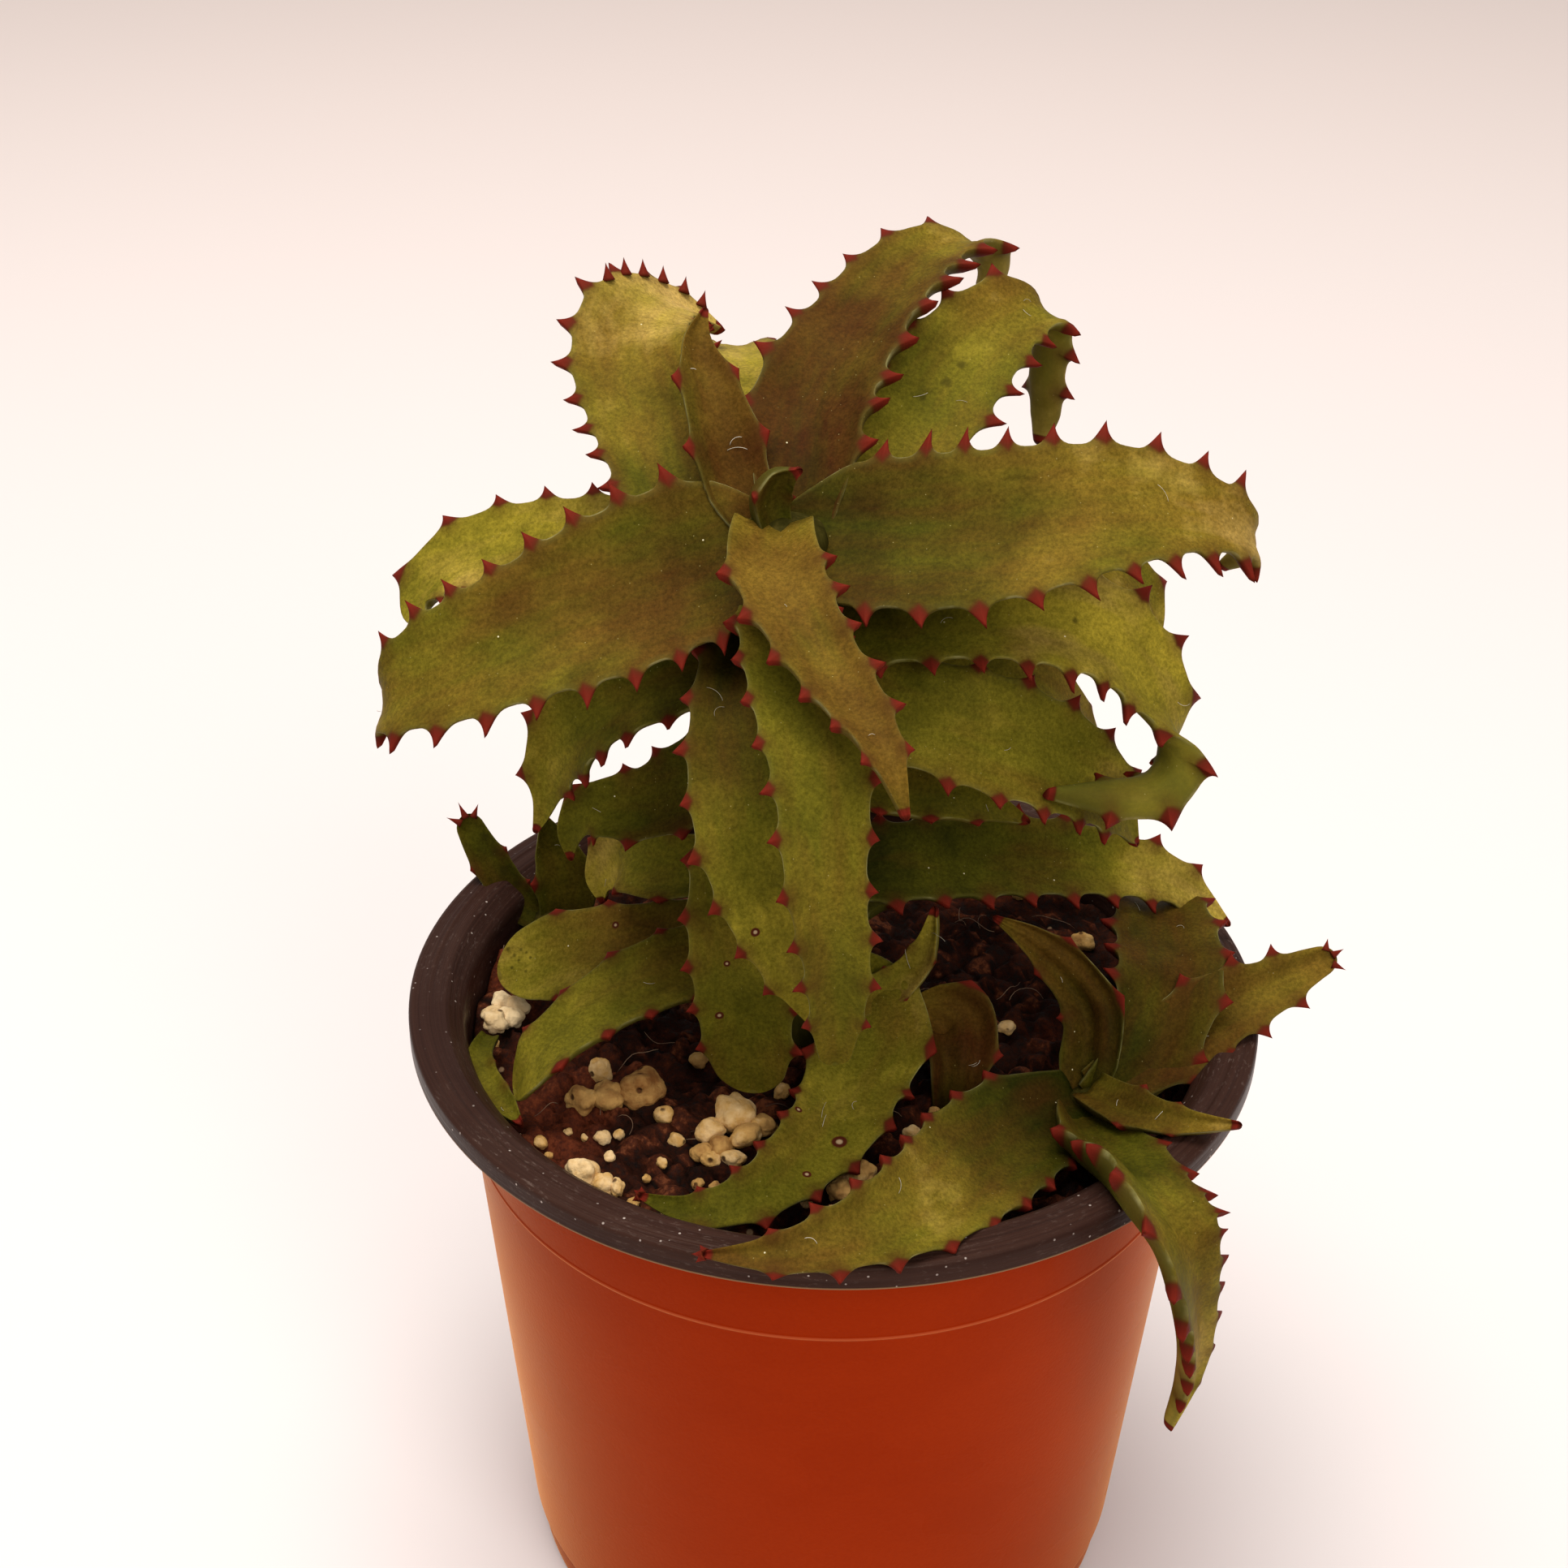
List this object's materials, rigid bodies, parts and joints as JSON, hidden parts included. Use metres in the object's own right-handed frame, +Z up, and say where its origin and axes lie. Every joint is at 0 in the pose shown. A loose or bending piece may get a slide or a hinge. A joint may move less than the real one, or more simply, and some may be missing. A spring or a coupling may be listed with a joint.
{
  "type": "potted aloe",
  "caption": "Leggy young aloe with broad toothed arching leaves and low offsets, in a tapered round plastic nursery pot with soil and pumice.",
  "frame": {"origin": "centre of the pot's flat base, on the surface it stands on", "axes": "+Z up along the pot, -Y towards the side seen in the picture, +X to the right of that side"},
  "size_m": [0.1209, 0.1147, 0.1794],
  "materials": {
    "pot_plastic": "satin orange, dark brown inside and on the rim",
    "soil": "dark crumbly potting soil",
    "pumice": "matt cream pumice grains",
    "stem": "olive stem under the leaf bases",
    "leaf_bronze": "satin bronze green skin with red teeth",
    "leaf_pale": "satin pale olive skin with red teeth",
    "leaf_young": "satin brown purple skin with red teeth",
    "leaf_green": "satin olive green skin with small red teeth"
  },
  "bodies": {
    "root": {"leaf_01_left_broad": "leaf_bronze", "leaf_02_right_broad": "leaf_bronze", "leaf_03_front_narrow": "leaf_bronze", "leaf_04_young_dark": "leaf_young", "leaf_05_up_left": "leaf_pale", "leaf_06_up_right": "leaf_bronze", "leaf_07_right_back": "leaf_green", "leaf_08_left_back": "leaf_green", "leaf_09_back": "leaf_green", "leaf_10_right_arch": "leaf_green", "leaf_11_right_second": "leaf_green", "leaf_12_front_centre": "leaf_green", "leaf_13_front_left": "leaf_green", "leaf_14_front_low": "leaf_green", "leaf_15_left_loop": "leaf_green", "leaf_16_left_lower": "leaf_green", "leaf_17_right_pale": "leaf_green", "leaf_18_right_back": "leaf_green", "leaf_19_right_low": "leaf_green", "leaf_20_left_finger": "leaf_green", "leaf_21_left_upright": "leaf_green", "leaf_22_left_hooked": "leaf_green", "leaf_23_left_blunt": "leaf_green", "leaf_24_left_arch": "leaf_green", "leaf_25_rim_small": "leaf_green", "leaf_26_front_crescent": "leaf_green", "leaf_27_front_small": "leaf_green", "leaf_28_front_folded": "leaf_green", "leaf_29_front_low": "leaf_green", "leaf_30_pup_folded": "leaf_green", "leaf_31_pup_pointed": "leaf_green", "leaf_32_pup_over_rim": "leaf_green", "leaf_33_pup_broad": "leaf_green", "leaf_34_pup_out": "leaf_green", "leaf_35_back_right": "leaf_green", "leaf_36_back_left": "leaf_green", "leaf_37_back_low": "leaf_green", "leaf_38_back_low_right": "leaf_green", "leaf_39_bud": "leaf_young", "pot": "pot_plastic", "pumice_centre": "pumice", "pumice_front": "pumice", "pumice_front_left": "pumice", "pumice_left": "pumice", "pumice_rim_left": "pumice", "soil": "soil", "stem_main": "stem", "stem_pup_left": "stem", "stem_pup_right": "stem"}
  },
  "joints": []
}
